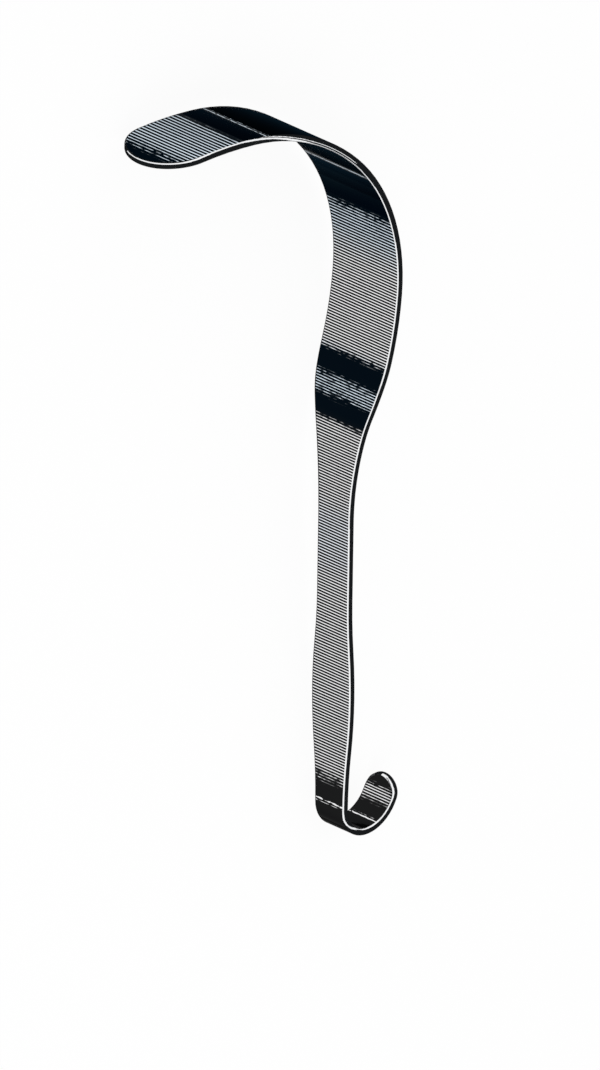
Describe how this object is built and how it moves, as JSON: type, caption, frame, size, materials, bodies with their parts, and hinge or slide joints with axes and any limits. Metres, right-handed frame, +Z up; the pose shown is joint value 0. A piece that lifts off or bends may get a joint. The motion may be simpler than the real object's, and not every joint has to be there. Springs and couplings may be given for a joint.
{
  "type": "surgical retractor",
  "caption": "One-piece handheld surgical retractor: a flat steel strip with a broad curled blade, a waisted handle with a palm swell, and a hooked end.",
  "frame": {"origin": "middle of the bounding box on the table, with the retractor lying on one edge as it comes to rest", "axes": "+X along the handle from the blade towards the hook, the longest extent; +Y from the blade's hollow towards the hook's side; +Z up off the table, the shortest extent"},
  "size_m": [0.3274, 0.1414, 0.0388],
  "materials": {
    "steel": "satin polish with bright rounded edges"
  },
  "bodies": {
    "root": {"retractor": "steel"}
  },
  "joints": []
}
